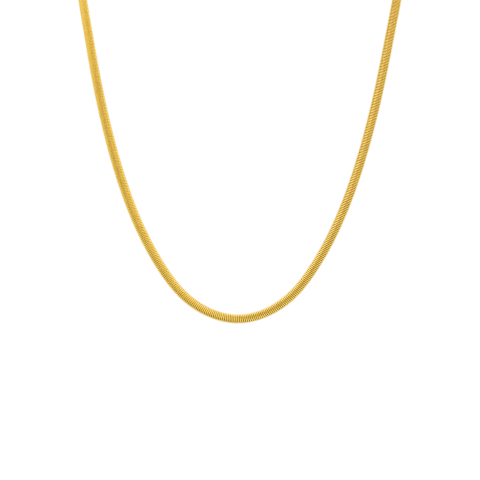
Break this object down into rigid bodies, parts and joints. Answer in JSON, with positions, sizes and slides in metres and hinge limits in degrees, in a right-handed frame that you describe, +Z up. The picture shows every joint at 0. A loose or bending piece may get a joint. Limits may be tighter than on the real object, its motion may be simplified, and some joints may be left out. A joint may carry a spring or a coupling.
{
  "type": "snake chain necklace",
  "caption": "Oval snake chain necklace in polished yellow gold, a closed loop worn round a neck, with end caps and a plain clasp at the nape.",
  "frame": {"origin": "where the loop hangs: the middle of the clasp's inner face, on the nape of the neck", "axes": "+Z up, -Y to the front of the wearer, +X to the wearer's left, which is the viewer's right"},
  "size_m": [0.1233, 0.1042, 0.1413],
  "materials": {
    "chain_gold": "polished yellow gold plating on fine cross ribs",
    "fitting_gold": "smooth polished yellow gold plating with light handling marks"
  },
  "bodies": {
    "root": {"chain": "chain_gold", "end_cap_left": "fitting_gold", "end_cap_right": "fitting_gold", "clasp": "fitting_gold"}
  },
  "joints": []
}
